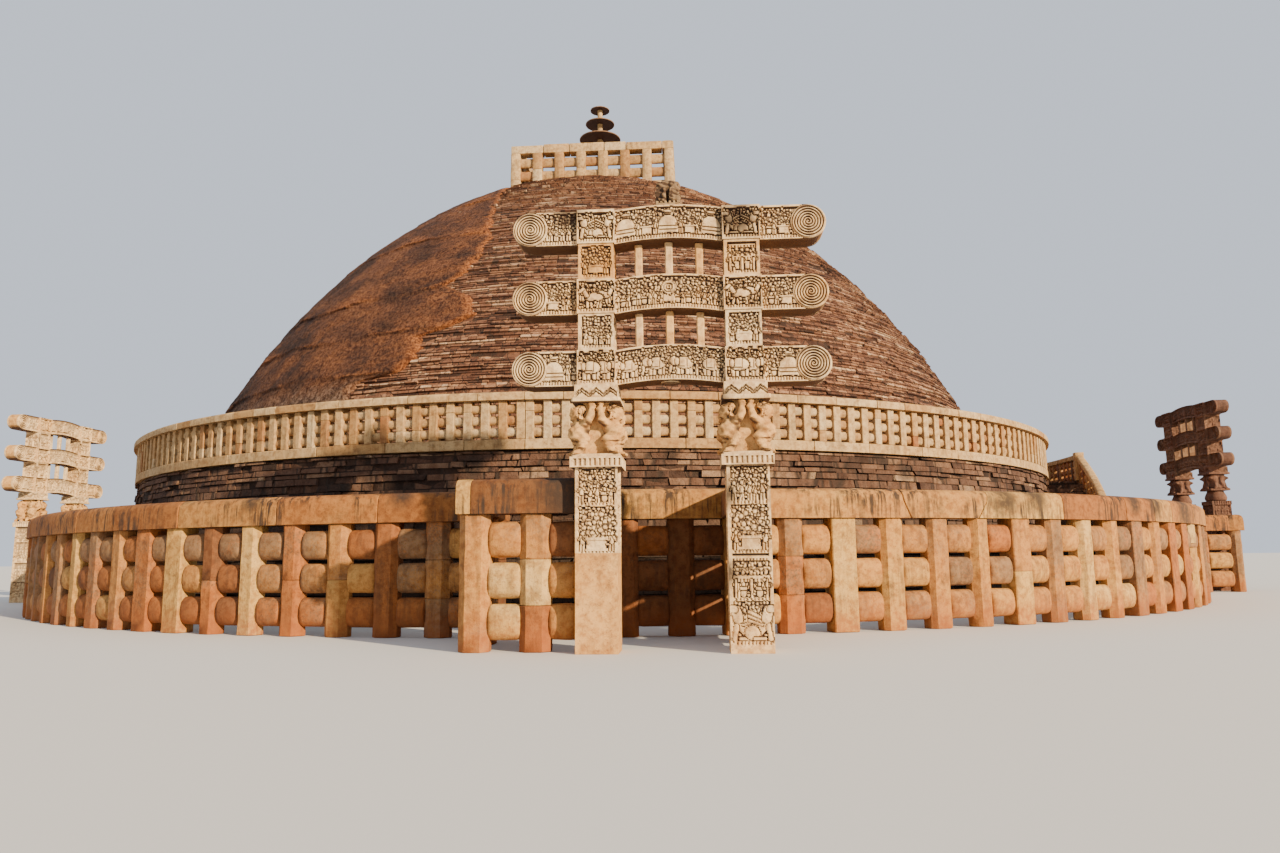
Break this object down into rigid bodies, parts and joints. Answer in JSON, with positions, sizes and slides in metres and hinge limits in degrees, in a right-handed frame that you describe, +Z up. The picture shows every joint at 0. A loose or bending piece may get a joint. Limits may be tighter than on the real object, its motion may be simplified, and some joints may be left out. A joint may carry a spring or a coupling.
{
  "type": "stupa with railings and gateways, scale model 1:2",
  "caption": "Domed stone stupa on a round terrace with a stair, a post-and-rail stone fence, four carved gateways and a stone umbrella mast on top",
  "frame": {"origin": "on the ground, on the axis of the dome", "axes": "+Z up, -Y towards the west front with the fullest gateway, +X towards the south stair"},
  "size_m": [24.855, 25.04, 11.5],
  "materials": {
    "gateway_sandstone": "carved and weathered",
    "railing_sandstone": "smooth, block by block in orange, cream and grey",
    "terrace_sandstone": "smooth, weathered",
    "dome_stone": "rough flat courses with plaster left on one side",
    "drum_stone": "rough blocks with dark stains",
    "umbrella_stone": "smooth, dark"
  },
  "bodies": {
    "root": {"dome": "dome_stone", "gateway_east_left_pillar": "gateway_sandstone", "gateway_east_lower_beam": "gateway_sandstone", "gateway_east_middle_beam": "gateway_sandstone", "gateway_east_right_pillar": "gateway_sandstone", "gateway_east_upper_beam": "gateway_sandstone", "gateway_north_left_pillar": "gateway_sandstone", "gateway_north_lower_beam": "gateway_sandstone", "gateway_north_middle_beam": "gateway_sandstone", "gateway_north_right_pillar": "gateway_sandstone", "gateway_north_upper_beam": "gateway_sandstone", "gateway_south_left_pillar": "gateway_sandstone", "gateway_south_lower_beam": "gateway_sandstone", "gateway_south_middle_beam": "gateway_sandstone", "gateway_south_right_pillar": "gateway_sandstone", "gateway_south_upper_beam": "gateway_sandstone", "gateway_west_finial": "gateway_sandstone", "gateway_west_left_pillar": "gateway_sandstone", "gateway_west_lower_beam": "gateway_sandstone", "gateway_west_middle_beam": "gateway_sandstone", "gateway_west_right_pillar": "gateway_sandstone", "gateway_west_upper_beam": "gateway_sandstone", "ground_coping_east_to_north": "railing_sandstone", "ground_coping_north_to_west": "railing_sandstone", "ground_coping_south_to_east": "railing_sandstone", "ground_coping_west_to_south": "railing_sandstone", "ground_railing_east_to_north_a": "railing_sandstone", "ground_railing_east_to_north_b": "railing_sandstone", "ground_railing_north_to_west_a": "railing_sandstone", "ground_railing_north_to_west_b": "railing_sandstone", "ground_railing_south_to_east_a": "railing_sandstone", "ground_railing_south_to_east_b": "railing_sandstone", "ground_railing_west_to_south_a": "railing_sandstone", "ground_railing_west_to_south_b": "railing_sandstone", "harmika_coping": "terrace_sandstone", "harmika_railing_east": "terrace_sandstone", "harmika_railing_north": "terrace_sandstone", "harmika_railing_south": "terrace_sandstone", "harmika_railing_west": "terrace_sandstone", "mast": "terrace_sandstone", "stair_flight_east": "drum_stone", "stair_flight_west": "drum_stone", "stair_landing": "drum_stone", "stair_railing_east": "terrace_sandstone", "stair_railing_west": "terrace_sandstone", "terrace_drum": "drum_stone", "terrace_kerb": "terrace_sandstone", "terrace_railing_northeast": "terrace_sandstone", "terrace_railing_northwest": "terrace_sandstone", "terrace_railing_southeast": "terrace_sandstone", "terrace_railing_southwest": "terrace_sandstone", "umbrella_lower": "umbrella_stone", "umbrella_middle": "umbrella_stone", "umbrella_upper": "umbrella_stone"}
  },
  "joints": []
}
